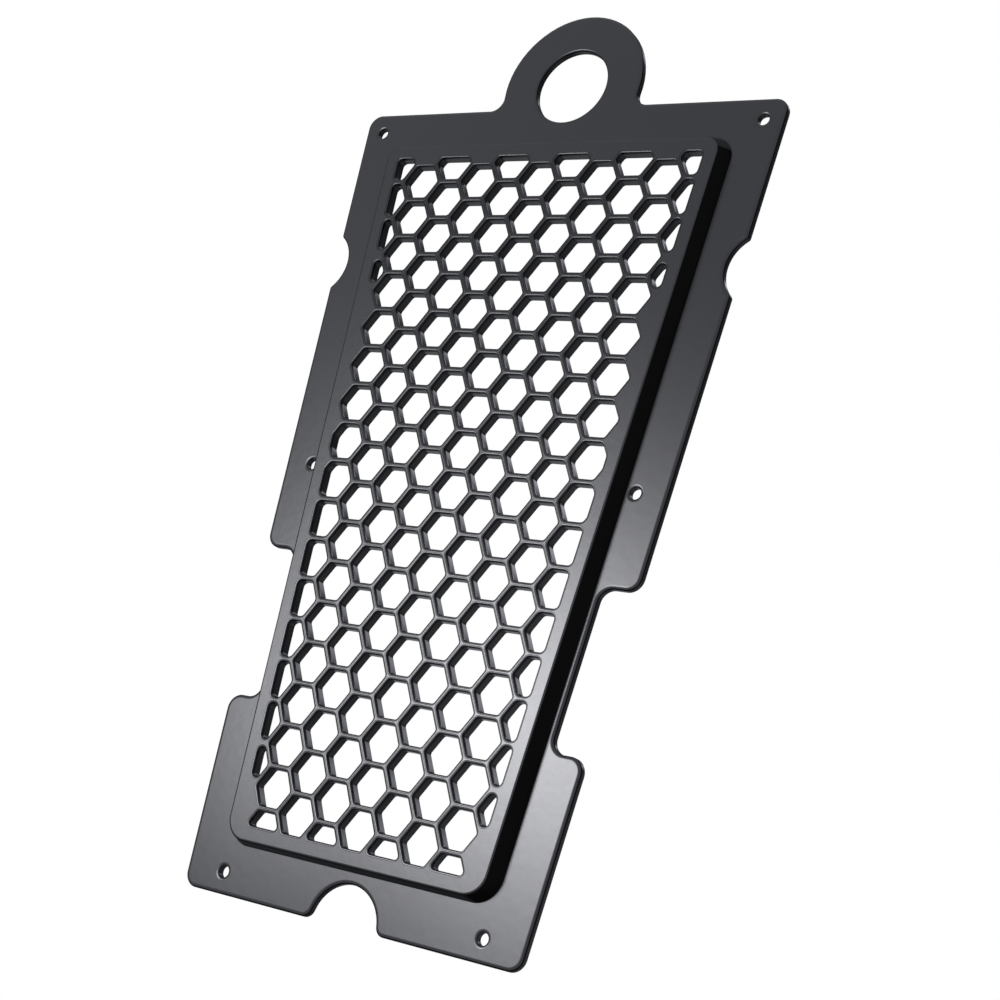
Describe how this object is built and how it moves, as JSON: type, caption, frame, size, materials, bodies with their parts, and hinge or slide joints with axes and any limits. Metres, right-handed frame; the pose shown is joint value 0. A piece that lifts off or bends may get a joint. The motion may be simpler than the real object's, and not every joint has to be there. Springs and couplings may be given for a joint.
{
  "type": "motorcycle radiator guard",
  "caption": "Tapered one-piece plastic guard with a raised honeycomb grille, a ring on its top edge, notched sides and screw holes, made to cover the front of a radiator.",
  "frame": {"origin": "middle of the outline, on the flat back face", "axes": "+Y towards the ring on the top edge, +Z out of the front of the grille, +X to the right as seen from the front with the ring at the top"},
  "size_m": [0.1932, 0.3646, 0.0092],
  "materials": {
    "black_plastic": "gloss black, injection moulded"
  },
  "bodies": {
    "root": {"guard": "black_plastic"}
  },
  "joints": []
}
